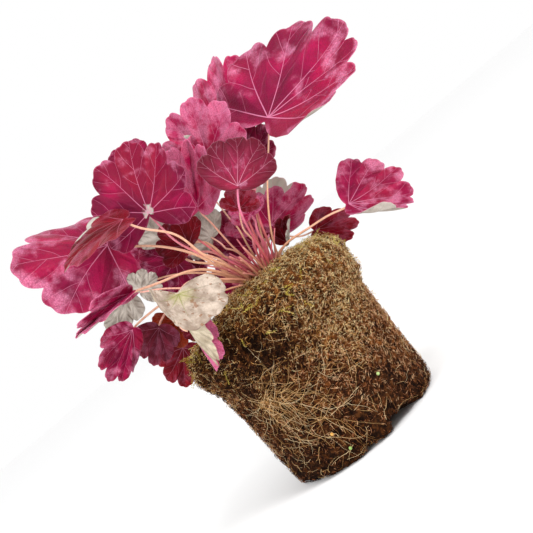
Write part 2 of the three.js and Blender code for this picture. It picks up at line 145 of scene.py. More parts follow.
# Leaf outlines, as shares of the midrib or angles from it.
BLADE_THICKNESS = 0.8
NOTCHES = (20, 61, 102, 150)
SINUS_RADIUS = 0.05
SINUS_POWER = 2.5
LOBE_DEPTH = 0.15
TOOTH_DEPTH = 0.035
FULL_LOBE = 33

# Relief of the blades, and the sway of their main veins, as shares of the midrib.
PUFF_WIDTH = 0.09
PUFF_HEIGHT = 0.028
FRILL = 0.014
VEIN_SWAY = 0.055

# Mesh of the blades: steps to half a lobe, and rings, on large and on small leaves.
LARGE_LEAF = 44
LARGE_MESH = (11, 24)
SMALL_MESH = (7, 14)
SINUS_STEPS = 8

# One row for each leaf, as in the solids: where its stalk meets the blade, which way its midrib
# points, roughly which way its upper side looks, the length of its midrib, and what differs from
# the usual shape below.
#   lobes  5 or 7, lobing, how deep their notches are against most leaves', and spread, the share
#          of a flat leaf's angles that they open to, with right_spread for the right half
#   width  breadth of the leaf, as a share of a round leaf's
#   left, right, fold   how far each half bends up over a midrib's length, or both at the midrib
#   arch   how far the tip bends up
#   cup    rise of the margin, and wave its undulation, as shares of the midrib
#   rise   how steeply the stalk leaves the crown, from 0 to 1
#   enter  which way the stalk runs where it meets the blade, if not from behind
LEAVES = [
    # The tall group on the right.
    ((89, 0, 217), (1, -0.15, 0.14), (-0.12, -0.72, 0.69), 85,
     dict(lobes=7, width=0.95, right=50, right_spread=0.5)),
    ((66, 66, 230), (0.45, 0.1, 0.89), (-0.59, -0.64, 0.49), 65, dict(width=0.9, right_spread=0.75)),
    ((60, 31, 204), (0.6, 0.1, 0.78), (-0.2, -0.9, 0.2), 33, dict(width=0.8)),
    ((38, 24, 225), (0.42, -0.1, 0.9), (-0.4, -0.85, 0.35), 46, {}),
    ((9, 14, 201), (0.52, -0.15, 0.84), (-0.1, -0.97, 0), 53, dict(fold=52, spread=0.8, width=0.9)),
    ((39, -46, 191), (0.52, 0.45, 0.68), (0.29, -0.86, 0.35), 40,
     dict(lobing=0.7, spread=0.72, width=0.85, color="burgundy")),

    # The left group, which leans out over the collar.
    ((-19, -28, 217), (0.38, 0.1, 0.93), (0, -0.98, 0.2), 52,
     dict(lobes=7, width=0.88, right=50, right_spread=0.8)),
    ((-33, -54, 222), (-0.95, -0.2, 0.25), (-0.25, -0.4, 0.88), 52,
     dict(width=0.7, arch=-42, color="burgundy")),
    ((-57, -10, 220), (-0.9, -0.2, 0.39), (-0.2, -0.85, 0.5), 68,
     dict(spread=1.15, width=0.8, left=-80, right=-100)),
    ((-60, -60, 182), (-1, -0.2, 0), (0, -1, 0.2), 45, dict(fold=64, spread=0.7, width=0.55)),
    ((-82, -10, 163), (-0.9, -0.2, -0.43), (0, -1, 0), 40,
     dict(left=-220, spread=0.62, right_spread=0.8, width=0.54)),
    ((-71, 20, 152), (-0.74, 0.1, -0.67), (0, -1, 0), 29, dict(width=0.7, color="purple")),
    ((-70, 44, 128), (-0.58, 0.2, -0.81), (0, -1, 0), 32, dict(width=0.8, color="burgundy")),
    ((-36, -64, 161), (-0.12, -0.7, -0.71), (0.48, -0.67, 0.57), 34,
     dict(lobing=0.5, spread=1.15, right_spread=0.8, width=1.1, right=90, color="dried")),
    ((-45, -68, 139), (-0.12, -0.1, -0.99), (0.77, -0.3, -0.64), 32,
     dict(fold=60, width=0.6, rise=0.5)),
    ((-60, -14, 180), (0.98, 0.1, 0.17), (0, 1, 0.3), 17, dict(enter=(-0.7, 0.5, 0.5))),
    ((-73, 15, 185), (-0.94, 0.1, -0.33), (0, 1, 0), 30, dict(width=0.7)),
    ((-31, 48, 183), (-0.94, 0.1, -0.32), (0, -1, 0.1), 34, {}),
    ((-59, 36, 147), (-0.89, 0, -0.46), (0, -1, 0.1), 22, dict(color="orange")),
    ((-48, 18, 135), (-0.85, 0.3, 0.5), (0, -1, 0.1), 14, dict(color="burgundy")),

    # Behind the stalks, from left to right.
    ((-37, 60, 211), (-1, 0, 0.2), (0, -0.9, 0.3), 28, {}),
    ((-23, 45, 200), (0.16, 0.1, 0.98), (0, 1, 0.2), 28, {}),
    ((-15, 20, 184), (-0.33, 0.1, 0.94), (0, -1, 0.2), 26, dict(color="burgundy")),
    ((1, 60, 179), (-0.43, 0, 0.9), (0, 1, 0.1), 26, {}),
    ((-34, 66, 158), (-0.3, 0.2, 0.93), (0, -1, 0.1), 26, {}),
    ((31, -4, 180), (0.69, 0.2, 0.72), (0.1, -0.9, 0.3), 18, dict(color="burgundy")),
    ((35, 16, 172), (0, 0.2, 0.98), (0, -1, 0.2), 18, {}),
    ((43, 54, 156), (0.97, 0.1, 0.2), (0, -0.9, 0.4), 42, dict(spread=0.85, right=90)),
    ((43, 24, 139), (0.69, 0, 0.72), (-0.5, -0.8, 0.2), 21,
     dict(fold=40, left=60, right=60, rise=0.95, color="burgundy")),

    # The two that lean out on the right.
    ((92, -15, 133), (0.87, -0.1, -0.49), (0.2, -0.8, 0.5), 46,
     dict(lobes=7, spread=0.64, right=120, right_spread=0.4)),
    ((68, 66, 131), (0.86, -0.1, -0.51), (0, -1, 0.2), 35,
     dict(width=0.6, rise=0.95, color="burgundy")),

    # The far side.
    ((22, 74, 204), (-0.1, 0.95, 0.3), (0, -0.3, 0.95), 50, {}),
    ((60, 86, 122), (0.6, 0.8, -0.3), (0.1, 0.3, 0.9), 36, {}),
    ((5, 95, 124), (-0.1, 0.8, -0.6), (0, 0.6, 0.8), 40, {}),
    ((-45, 80, 150), (-0.5, 0.8, 0.1), (0, -0.1, 0.99), 36, {}),
    ((-21, 91, 177), (-0.2, 0.9, 0.3), (0, -0.3, 0.95), 44, {}),
    ((24, 80, 152), (-0.25, 0.35, 0.88), (0, -0.85, 0.5), 44, {}),

    # Behind the left group and between the stalks.
    ((-14, 30, 244), (0.6, 0.1, 0.8), (0, -0.95, 0.2), 34, {}),
    ((-8, 71, 138), (0, 0.2, 1), (0, -1, 0.1), 24, {}),
    ((28, 66, 162), (0.5, 0.1, 0.85), (0, -0.95, 0.2), 26, {}),
]
USUAL_SHAPE = dict(
    lobes=5, lobing=1, spread=0.9, width=1, left=0, right=0, fold=0, arch=0, cup=0.03, wave=0.04,
    rise=0.8, color="magenta", enter=None, right_spread=None,
)

# Leaves that are brighter or darker than the rest, by number, from 0 (dark) to 1.5 (silvery): partly
# their own colour, and partly painted light, which brightens leaves that lie in shade and widens their
# painted sheen.
TONES_AND_PAINTED_LIGHT = {
    1: 0.4, 2: 1.0, 3: 0.3, 4: 1.2, 5: 1.4, 6: 1.1, 7: 0.0, 8: 0.65, 9: 0.65, 10: 0.85, 11: 0.6,
    12: 0.8, 13: 0.6, 15: 1.4, 20: 0.3, 23: 0.3, 26: 1.1, 27: 1.2, 28: 1.1, 29: 0.3, 30: 0.7,
    31: 1.0, 39: 0.6, 40: 1.3,
}
# The leaf with a bleached middle, and those with a pale strip along a part of their margin: from
# one angle to another, and from which share of the way to the margin.
BLEACHED_LEAF = 7
PALE_RIMS = {8: (-72, -44, 0.78), 28: (14, 80, 0.74)}
# Leaves with a dry lower side, and the one with a duller, pinker upper side.
WITHERED_LEAVES = (14, 15)
PLUM_LEAF = 6

# Veins: how many side veins cross a midrib's length, and the fineness of the net between them.
SIDE_VEINS = 4.0
NET_SCALE = 42.0


# === Meshes ===

def add_object(name, data):
    made = bpy.data.objects.new(name, data)
    bpy.context.scene.collection.objects.link(made)
    return made


def add_piece(name, points, faces, materials, slot, replaces=(), face_material=None, **values):
    """Makes a piece from points and blocks of faces. Materials read the values, one a point, by name."""
    mesh = bpy.data.meshes.new(name)
    mesh.from_pydata((points * MM).tolist(), [], [face for block in faces for face in block.tolist()])
    mesh.shade_smooth()
    for material in materials:
        mesh.materials.append(material)
    if face_material is not None:
        mesh.polygons.foreach_set("material_index", face_material.astype(np.int32))
    for key, numbers in values.items():
        attribute = mesh.attributes.new(key, "FLOAT", "POINT")
        attribute.data.foreach_set("value", np.asarray(numbers, np.float32))
    piece = add_object(name, mesh)
    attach(piece, "root")
    if replaces:
        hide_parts(*replaces)
    return piece


def unit(vectors):
    return vectors / np.maximum(np.linalg.norm(vectors, axis=-1, keepdims=True), 1e-9)


def smoothstep(value, low, high):
    share = np.clip((value - low) / (high - low), 0, 1)
    return share * share * (3 - 2 * share)


def circle(sides):
    """Angles of the corners of a regular ring."""
    return np.arange(sides) / sides * 2 * np.pi


def grid(steps, turns):
    """Both values for each point of a tube, ring by ring."""
    return [values.ravel() for values in np.meshgrid(steps, turns, indexing="ij")]


def ring_quads(rings, sides):
    """Quads of a tube whose points are numbered ring by ring."""
    ring, side = grid(np.arange(rings - 1), np.arange(sides))
    low = ring * sides + side
    low_next = ring * sides + (side + 1) % sides
    return np.stack([low, low_next, low_next + sides, low + sides], -1)


def closed_rings(rings, sides):
    """Quads and triangles of a closed tube, whose points are its rings and then its two ends."""
    side = np.arange(sides)
    after = (side + 1) % sides
    top = (rings - 1) * sides
    end = np.full(sides, rings * sides)
    first = np.stack([after, side, end], -1)
    last = np.stack([top + side, top + after, end + 1], -1)
    return ring_quads(rings, sides), np.concatenate([first, last])


def tube(path, radii, sides):
    """Points, quads and triangles of a round tube along a path."""
    along = unit(np.gradient(path, axis=0))
    normal = np.cross(along[0], [0.3, 0.2, 1])
    turns = circle(sides)
    rings = []
    for place, forward, radius in zip(path, along, radii):
        normal = unit(normal - forward * (normal @ forward))
        other = np.cross(forward, normal)
        ring = np.outer(np.cos(turns), normal) + np.outer(np.sin(turns), other)
        rings.append(place + radius * ring)
    return np.concatenate(rings + [path[:1], path[-1:]]), *closed_rings(len(path), sides)


def join(parts):
    """Joins parts, each of them points and then blocks of faces."""
    points, *kinds = zip(*parts)
    starts = np.cumsum([0] + [len(each) for each in points])
    faces = [np.concatenate([block + start for block, start in zip(kind, starts)]) for kind in kinds]
    return np.concatenate(points), faces


def spindles(centres, directions, bends, lengths, radii):
    """Thin fibres, pointed at both ends: five points and six triangles each."""
    directions = unit(directions)
    across = unit(np.cross(directions, bends + 1e-6))
    over = np.cross(across, directions)
    half = directions * lengths[:, None] / 2
    middle = centres + bends
    turns = np.array([0, 2, 4]) * np.pi / 3
    ring = [middle + radii[:, None] * (math.cos(t) * across + math.sin(t) * over) for t in turns]
    points = np.stack([centres - half, *ring, centres + half], 1).reshape(-1, 3)
    pattern = np.array([[0, 2, 1], [0, 3, 2], [0, 1, 3], [4, 1, 2], [4, 2, 3], [4, 3, 1]])
    triangles = (np.arange(len(centres)) * SPINDLE_POINTS)[:, None, None] + pattern
    return points, triangles.reshape(-1, 3)


# === Materials ===

def linear(code):
    """A linear colour from a web colour."""
    shares = [int(code[start:start + 2], 16) / 255 for start in (1, 3, 5)]
    return [((s + 0.055) / 1.055) ** 2.4 if s > 0.04 else s / 12.92 for s in shares] + [1]


def reckons(operation):
    """An operator that makes a math node."""
    return lambda value, *other: value.shader.math(operation, value, *other)


class Value:
    """The output of a node. Reckoning with it makes further nodes."""

    __add__ = reckons("ADD")
    __sub__ = reckons("SUBTRACT")
    __mul__ = reckons("MULTIPLY")
    __truediv__ = reckons("DIVIDE")
    __abs__ = reckons("ABSOLUTE")

    def __init__(self, shader, socket):
        self.shader = shader
        self.socket = socket


class Shader:
    """A material under construction, with short names for the nodes that it needs.

    An input is a number, a web colour such as "#8e5226", or the output of another node.
    """

    def __init__(self, name):
        self.material = bpy.data.materials.new(name)
        self.material.use_nodes = True
        self.tree = self.material.node_tree
        self.tree.nodes.clear()

    def node(self, kind, inputs=None, output=0, **settings):
        made = self.tree.nodes.new("ShaderNode" + kind)
        for key, value in settings.items():
            setattr(made, key, value)
        for key, value in (inputs or {}).items():
            if isinstance(value, Value):
                self.tree.links.new(value.socket, made.inputs[key])
            else:
                made.inputs[key].default_value = linear(value) if isinstance(value, str) else value
        return Value(self, made.outputs[output])

    def math(self, operation, first, second=0):
        return self.node("Math", {0: first, 1: second}, operation=operation)

    def cover(self, surface, *layers):
        """Lays (share, colour) layers over a colour, one after another."""
        for share, color in layers:
            inputs = {"Factor": share, 6: surface, 7: color}
            surface = self.node("Mix", inputs, output=2, data_type="RGBA")
        return surface

    def ramp(self, value, low, high, start=0, end=1):
        """Maps a value from low..high to start..end, held at both ends."""
        inputs = {"Value": value, "From Min": low, "From Max": high, "To Min": start, "To Max": end}
        return self.node("MapRange", inputs, interpolation_type="SMOOTHSTEP")

    def attribute(self, name):
        return self.node("Attribute", output=2, attribute_name=name)

    def uv(self, name):
        return self.node("UVMap", uv_map=name)

    def noise(self, vector, scale, detail=3, roughness=0.55):
        inputs = {"Vector": vector, "Scale": scale, "Detail": detail, "Roughness": roughness}
        return self.node("TexNoise", inputs)

    def place(self):
        return self.node("TexCoord", output=3)

    def bump(self, height, distance, strength, **extra):
        inputs = {"Height": height, "Distance": distance, "Strength": strength, **extra}
        return self.node("Bump", inputs)

    def finish(self, color, roughness, normal=None, **extra):
        """extra holds more inputs of the shader, with _ for a space in their names."""
        inputs = {"Base Color": color, "Roughness": roughness}
        if normal is not None:
            inputs["Normal"] = normal
        for key, value in extra.items():
            inputs[key.replace("_", " ")] = value
        shader = self.node("BsdfPrincipled", inputs)
        output = self.tree.nodes.new("ShaderNodeOutputMaterial")
        self.tree.links.new(shader.socket, output.inputs["Surface"])
        return self.material


def vein_place(s):
    """Distances along and aside of the nearest main vein, as shares of the midrib."""
    return [s.node("SeparateXYZ", {0: s.uv("vein")}, output) for output in (0, 1)]


def vein_lines(s):
    """Shares from 0 to 1 for the main veins, the side veins and the puffed blade between them.

    The last value is the distance to the nearest line of the net.
    """
    along, aside = vein_place(s)
    away = abs(aside)
    main_width = s.ramp(along, 0, 0.95, 0.0075, 0.0024)
    main = s.ramp(away / main_width, 0.5, 1, 1, 0)
    foot = along - away * (away * 0.9 + 1.05)
    offset = s.math("GREATER_THAN", aside, 0) * 0.45
    wobble = s.noise(s.uv("leaf"), 2.2, 1) * 0.9
    phase = foot * SIDE_VEINS + (offset + wobble)
    from_line = abs(s.math("FRACT", phase) - 0.5)
    side = s.ramp(from_line, 0.006, 0.022, 1, 0) * s.ramp(foot, 0.2, 0.34)
    side = side * s.ramp(away, 0.1, 0.4, 1, 0.4)
    puff = s.ramp(from_line, 0, 0.3) * s.ramp(away, 0, 0.12)
    net = s.node(
        "TexVoronoi", {"Vector": s.uv("leaf"), "Scale": NET_SCALE, "Randomness": 0.9},
        feature="DISTANCE_TO_EDGE",
    )
    return main, side, puff, net


def leaf_material(name, deep, body, warm, painted_sheen_color, vein, painted_sheen, rim):
    """The upper side of a blade: palmate veins, a fine net, a painted sheen between them (painted
    highlights), and painted shade beside the veins.
    """
    s = Shader(name)
    main, side, puff, net = vein_lines(s)
    leaf = s.uv("leaf")
    margin = s.attribute("margin")
    tone = s.attribute("tone")
    cloud = s.noise(leaf, 2.4, 2)
    cell = s.ramp(net, 0.02, 0.2)

    shade = cloud + (tone - 0.5) * 0.3
    along, aside = vein_place(s)
    # Painted shade: the blade is darkened on one side of each main vein, as if lit from the other side.
    painted_facet_shade = aside / s.math("MAXIMUM", along, 0.05) + s.noise(leaf, 5, 2) * 0.9
    lamina = s.cover(
        deep,
        (s.ramp(shade, 0.28, 0.66), body),
        (s.ramp(s.noise(leaf, 1.1, 1), 0.42, 0.7, 0, 0.6), warm),
        (s.ramp(margin, 0, 0.6, 0.3, 0) if rim > 0 else s.ramp(margin, 0.3, 1, 0, 0.8), deep),
        (s.ramp(painted_facet_shade, 0.25, 0.75, 0.45, 0), deep),
    )
    # Painted light: leaves of high tone are brightened, as if more light fell on them.
    lamina = s.node("HueSaturation", {"Color": lamina, "Value": s.ramp(tone, 0.7, 1.5, 1, 1.5)})

    # Painted highlight: silvery sheen patches, placed by noise, by the margin and by the leaf's tone.
    speckle = (s.noise(leaf, 24, 3, 0.6) - 0.5) * 0.18
    patch = s.noise(leaf, 4.2, 2, 0.5) + margin * rim + tone * 0.2 + speckle
    painted_shine = s.ramp(patch, 0.74, 0.98) * painted_sheen * (cell * 0.35 + 0.65)
    bleach = s.attribute("bleach") + s.noise(leaf, 14, 2) * 0.25
    surface = s.cover(
        lamina,
        (painted_shine, painted_sheen_color),
        (s.ramp(net, 0, 0.07, 0.2, 0), deep),
        (s.ramp(s.noise(leaf, 42, 3, 0.7), 0.45, 0.7, 0, 0.42), deep),
        (s.ramp(bleach, 0.95, 1.02), "#b9b4aa"),
        (side * 0.48, vein),
        (main * 0.64, vein),
        (s.ramp(margin, 0.98, 1, 0, 0.25), vein),
    )
    height = cell * 0.4 + main * -1.4 + side * -0.9
    normal = s.bump(height, 0.0004, 0.9, Normal=s.bump(puff, 0.0009, 0.8))
    roughness = s.ramp(cloud + painted_shine, 0.3, 1.1, 0.42, 0.28)
    return s.finish(
        surface, roughness, normal, Specular_IOR_Level=0.1, Subsurface_Weight=0.3,
        Subsurface_Radius=(1, 0.25, 0.35), Subsurface_Scale=0.0015,
    )


def underside_material(name, pale, shadow, vein):
    """The lower side of a blade: grey and matte, with raised pale veins."""
    s = Shader(name)
    main, side, puff, net = vein_lines(s)
    surface = s.cover(
        shadow,
        (s.ramp(s.noise(s.uv("leaf"), 3, 4), 0.3, 0.7), pale),
        (s.ramp(net, 0, 0.12, 0.35, 0), shadow),
        (side * 0.4, vein),
        (main * 0.8, vein),
    )
    height = main + side * 0.6 + puff * -1.5
    return s.finish(surface, 0.75, s.bump(height, 0.0007, 0.8), Specular_IOR_Level=0.3)


def dried_material():
    """A bleached leaf: beige, with brown flecks and greenish veins near the stalk."""
    s = Shader("dried_leaf")
    main, side, _, net = vein_lines(s)
    leaf = s.uv("leaf")
    margin = s.attribute("margin")
    wrinkle_and_crease_shade = s.noise(leaf, 7, 4, 0.6)
    surface = s.cover(
        "#988474",
        (s.ramp(s.noise(leaf, 3.2, 4), 0.35, 0.65), "#d0beae"),
        (s.ramp(s.noise(leaf, 8, 2), 0.6, 0.65) * 0.75, "#8a5a38"),
        (s.ramp(net, 0, 0.08, 0.25, 0), "#8f8069"),
        (s.ramp(margin, 0.05, 0.45, 0.6, 0), "#b0ac68"),
        (side * 0.4, "#9c9270"),
        (main * s.ramp(margin, 0.1, 0.75, 1, 0.15), "#a0a648"),
        # Painted shade in the creases of the wrinkles.
        (s.ramp(wrinkle_and_crease_shade, 0.3, 0.5, 0.45, 0), "#8a7766"),
    )
    return s.finish(surface, 0.85, s.bump(main * 0.8 + wrinkle_and_crease_shade * 3, 0.0014, 1))


def stalk_material():
    """Tan at the foot and pinker towards the blade, with fine streaks along the stalk."""
    s = Shader("stalk")
    share = s.attribute("share")
    tone = s.attribute("tone")
    streak = s.noise(s.place(), 420, 2)
    tan = s.cover("#d69c78", (s.ramp(tone, 0.3, 0.85), "#c45058"))
    pink = s.cover("#eab49a", (s.ramp(tone, 0.25, 0.85), "#e2789a"))
    surface = s.cover(
        tan,
        (s.ramp(share, 0.1, 0.95), pink),
        (s.ramp(share, 0, 0.35, 0.65, 0), "#8c4438"),
        (s.ramp(streak, 0.4, 0.7, 0, 0.3), "#9a5240"),
    )
    return s.finish(surface, 0.42, s.bump(streak, 0.0003, 0.4), Specular_IOR_Level=0.35)


def hair_material():
    s = Shader("stalk_hair")
    return s.finish(s.cover("#e8c4ae", (s.attribute("tone"), "#c98a78")), 0.6)


def toned_material(name, stops, roughness):
    """A material for loose fibres, each with its own tone, in which painted light and shade are mixed for
    the peat and moss. Its stops are (tone, colour) pairs.
    """
    s = Shader(name)
    tone = s.attribute("tone")
    layers = [(s.ramp(tone, low, high), code) for (low, _), (high, code) in zip(stops, stops[1:])]
    grain = s.ramp(s.noise(s.place(), 900, 2), 0.3, 0.7, 0.35, 0)
    surface = s.cover(stops[0][1], *layers, (grain, "#180a02"))
    return s.finish(surface, roughness, Specular_IOR_Level=0.1)


def peat_material():
    """Crumbly dark peat, browner on its raised crumbs, with painted shade blacker in its pits and painted
    light paler on the lit side.
    """
    s = Shader("peat")
    crumb = s.noise(s.place(), 260, 5, 0.7)
    surface = s.cover(
        "#1c0c04",
        (s.ramp(crumb, 0.35, 0.68), "#8e5226"),
        # Painted light and shade: darker where the ball lies in painted shade.
        (s.ramp(s.attribute("light"), 0.2, 0.8, 0.6, 0), "#1a0c04"),
        (s.ramp(s.noise(s.place(), 22, 3), 0.4, 0.7, 0, 0.3), "#2a1b10"),
        # Painted shade in the pits between the crumbs.
        (s.ramp(s.attribute("height"), 0.15, 0.55, 0.8, 0), "#0a0503"),
    )
    return s.finish(surface, 0.95, s.bump(crumb, 0.0012, 1), Specular_IOR_Level=0.1)


def bead_material(name, code):
    s = Shader(name)
    cloud = s.noise(s.place(), 700, 3)
    surface = s.cover(code, (s.ramp(cloud, 0.5, 0.8), "#e8d79a"))
    return s.finish(surface, 0.35, s.bump(cloud, 0.0002, 0.5), Coat_Weight=0.3)


# Upper sides: dark, usual and warm tones of the blade, its painted sheen (a painted highlight) and its
# veins, then the strength of the painted sheen, and how far it keeps to the margin, or to the middle if
# below zero.
LEAF_LOOKS = {
    "magenta": ("#680a2e", "#a20f48", "#9c1a34", "#f09cc2", "#e48cb0", 0.5, 0.24),
    "burgundy": ("#4e020a", "#880c24", "#92101a", "#c87896", "#cc7c94", 0.3, 0.2),
    "plum": ("#4c0818", "#8e2446", "#841832", "#d890b0", "#dc9cb4", 0.65, -0.1),
    "purple": ("#3e0812", "#761e34", "#701824", "#a8607c", "#b46a84", 0.35, 0.24),
    "orange": ("#7a1c0c", "#a83a1c", "#a03010", "#c98060", "#c98a70", 0.3, 0.24),
}
# Lower sides: pale tone, shadow and veins.
UNDERSIDE_LOOKS = {
    "underside": ("#c8beb4", "#94887e", "#dcd2c8"),
    "dried_underside": ("#cdbfa8", "#97866e", "#b0a284"),
}
# Loose fibres: their colours by tone, and their roughness.
FIBRE_LOOKS = {
    "peat_fibre": ([(0, "#200c02"), (0.3, "#6c3818"), (0.65, "#b8724a"), (1.2, "#f4c898")], 0.85),
    "moss": ([(0, "#1a0a02"), (0.3, "#6c3e18"), (0.65, "#d0944e"), (1.2, "#ffe8ac")], 0.8),
    "moss_sprig": ([(0, "#9a8828"), (0.5, "#ccb448"), (1, "#f0e078")], 0.7),
    "fine_root": ([(0, "#a4703e"), (0.5, "#dcb074"), (1, "#f6dcae")], 0.7),
}


def leaf_materials():
    upper = {name: leaf_material(f"leaf_{name}", *look) for name, look in LEAF_LOOKS.items()}
    lower = {name: underside_material(name, *look) for name, look in UNDERSIDE_LOOKS.items()}
    return {**upper, **lower, "dried": dried_material()}


# === Leaf blades ===

class Leaf:
    """A row of the table, with its own axes and its lobes."""

    def __init__(self, index, place, midrib, upward, size, shape):
        vars(self).update({**USUAL_SHAPE, **shape})
        self.index = index
        self.number = index + 1
        self.name = f"{self.number:02d}"
        self.seed = index * 1.7
        self.size = size
        self.origin = np.array(place)
        self.midrib = unit(midrib)
        self.upward = unit(upward - self.midrib * (upward @ self.midrib))
        self.across = np.cross(self.upward, self.midrib)
        notches = np.array(NOTCHES[:(self.lobes + 1) // 2])
        self.left_notches = notches * self.spread
        self.right_notches = notches * (self.spread if self.right_spread is None else self.right_spread)
        # Angles of all notches from right to left, and of the main veins between them.
        self.bounds = np.concatenate([-self.right_notches[::-1], self.left_notches])
        self.veins = (self.bounds[1:] + self.bounds[:-1]) / 2
        self.veins[len(self.veins) // 2] = 0

    def cut(self, breadth, notch, tooth):
        """What notches and teeth leave of a lobe's reach. Narrow lobes have shallower ones."""
        narrow = np.clip(breadth / FULL_LOBE, 0.3, 1)
        return 1 - self.lobing * (LOBE_DEPTH * narrow * notch + TOOTH_DEPTH * narrow ** 2 * tooth)

    def half_outline(self, side, notches):
        """Share of the midrib from the stalk to the margin, at angles from 0 to 180 on one half."""
        body = 0.82 + 0.18 * np.cos(np.radians(side))
        bounds = np.concatenate([[-notches[0]], notches])
        lobe = np.clip(np.searchsorted(bounds, side) - 1, 0, len(notches) - 1)
        low, high = bounds[lobe], bounds[lobe + 1]
        across = np.clip(2 * (side - low) / (high - low) - 1, -1, 1)
        tooth = np.abs(np.sin(1.5 * np.pi * (across + 1)))
        lobed = body * self.cut(high - low, np.abs(across) ** 2.4, 1 - tooth)
        last = body * self.cut(bounds[-1] - bounds[-2], 1, 1)
        opening = np.clip((180 - side) / (180 - notches[-1]), 0, 1) ** SINUS_POWER
        sinus = SINUS_RADIUS + (last - SINUS_RADIUS) * opening
        return np.where(side >= notches[-1], sinus, lobed)

    def outline(self, angles):
        left = self.half_outline(np.abs(angles), self.left_notches)
        right = self.half_outline(np.abs(angles), self.right_notches)
        return np.where(angles < 0, right, left)

    def along_vein(self, lobe, angles, reach):
        """Distances along and aside of the main vein of a lobe. The veins sway a little."""
        turned = np.radians(angles - self.veins[lobe])
        sway = VEIN_SWAY * reach * np.sin(3.2 * reach / self.size + 2.1 * lobe + self.seed)
        return reach * np.cos(turned), reach * np.sin(turned) + sway

    def relief(self, forward, sideways):
        """The blade is cupped and puffs up between its main veins, and its margin is frilled."""
        away = np.hypot(forward, sideways) / self.size
        turn = np.arctan2(sideways, forward)
        angle = np.degrees(np.arctan2(sideways / self.width, forward))
        lobe = np.clip(np.searchsorted(self.bounds, angle) - 1, 0, len(self.veins) - 1)
        _, aside = self.along_vein(lobe, angle, np.hypot(forward, sideways / self.width))
        ripple = np.cos(4.4 * turn + self.seed) + 0.6 * np.sin(9 * turn + 2 * self.seed)
        puff = 1 - np.exp(-(aside / (PUFF_WIDTH * self.size)) ** 2)
        fade = smoothstep(away, 0.08, 0.35)
        frill = FRILL * np.sin(13 * turn + 5 * self.seed) * away ** 5
        cup = away ** 2 * (self.cup + self.wave * ripple)
        return self.size * (cup + PUFF_HEIGHT * puff * fade + frill)

    def surface(self, forward, sideways):
        """The middle surface of the blade, from places on the flat leaf."""
        height = self.relief(forward, sideways)
        rate = np.radians(np.where(sideways > 0, self.left, self.right)) / self.size
        reach, lifted = bend(np.abs(sideways), height, math.radians(self.fold), rate)
        arch_rate = np.full_like(forward, math.radians(self.arch) / self.size)
        run, climb = bend(forward, lifted, 0, arch_rate)
        side = np.sign(sideways) * reach
        return (self.origin + run[..., None] * self.midrib + side[..., None] * self.across
                + climb[..., None] * self.upward)


def bend(along, height, start, rate):
    """Carries a point over a strip that starts at one slope and bends by a steady rate."""
    rate = rate + ALMOST_FLAT
    slope = start + rate * along
    run = (np.sin(slope) - np.sin(start)) / rate
    climb = (np.cos(start) - np.cos(slope)) / rate
    return run - height * np.sin(slope), climb + height * np.cos(slope)


def blade_angles(leaf, half_steps):
    """Angles round the leaf from -180 up, with all notches and main veins among them, and their lobes."""
    spans = [(-180, leaf.bounds[0], SINUS_STEPS, 0)]
    for lobe, (low, middle, high) in enumerate(zip(leaf.bounds, leaf.veins, leaf.bounds[1:])):
        spans += [(low, middle, half_steps, lobe), (middle, high, half_steps, lobe)]
    spans.append((leaf.bounds[-1], 180, SINUS_STEPS, len(leaf.veins) - 1))
    angles = [np.linspace(low, high, count, endpoint=False) for low, high, count, _ in spans]
    lobes = [np.full(count, lobe) for _, _, count, lobe in spans]
    return np.concatenate(angles), np.concatenate(lobes)


def blade_sides(leaf, forward, sideways, margin):
    """Points of the upper side, then of the lower. The blade thins towards its margin."""
    step = leaf.size * 0.01
    over = leaf.surface(forward + step, sideways) - leaf.surface(forward - step, sideways)
    aside = leaf.surface(forward, sideways + step) - leaf.surface(forward, sideways - step)
    half = BLADE_THICKNESS / 2 * np.where(margin < 1, 1 - 0.55 * margin ** 3, 0.3)
    offset = unit(np.cross(over, aside)) * half[:, None]
    middle = leaf.surface(forward, sideways)
    return np.concatenate([middle + offset, middle - offset])


def blade_faces(count, rings):
    """The fan and the quads of each side, upper and lower by turns, and the edge."""
    total = 1 + rings * count
    side = np.arange(count)
    after = (side + 1) % count
    fan = np.stack([np.zeros(count, int), 1 + side, 1 + after], -1)
    quads = ring_quads(rings, count)[:, [0, 3, 2, 1]] + 1
    rim = 1 + (rings - 1) * count
    edge = np.stack([rim + side, total + rim + side, total + rim + after, rim + after], -1)
    return [fan, fan[:, ::-1] + total, quads, quads[:, ::-1] + total, edge]


def after_middle(rings):
    """The values of all rings in a row, after a zero for the point at the stalk."""
    return np.concatenate([[0], rings.ravel()])


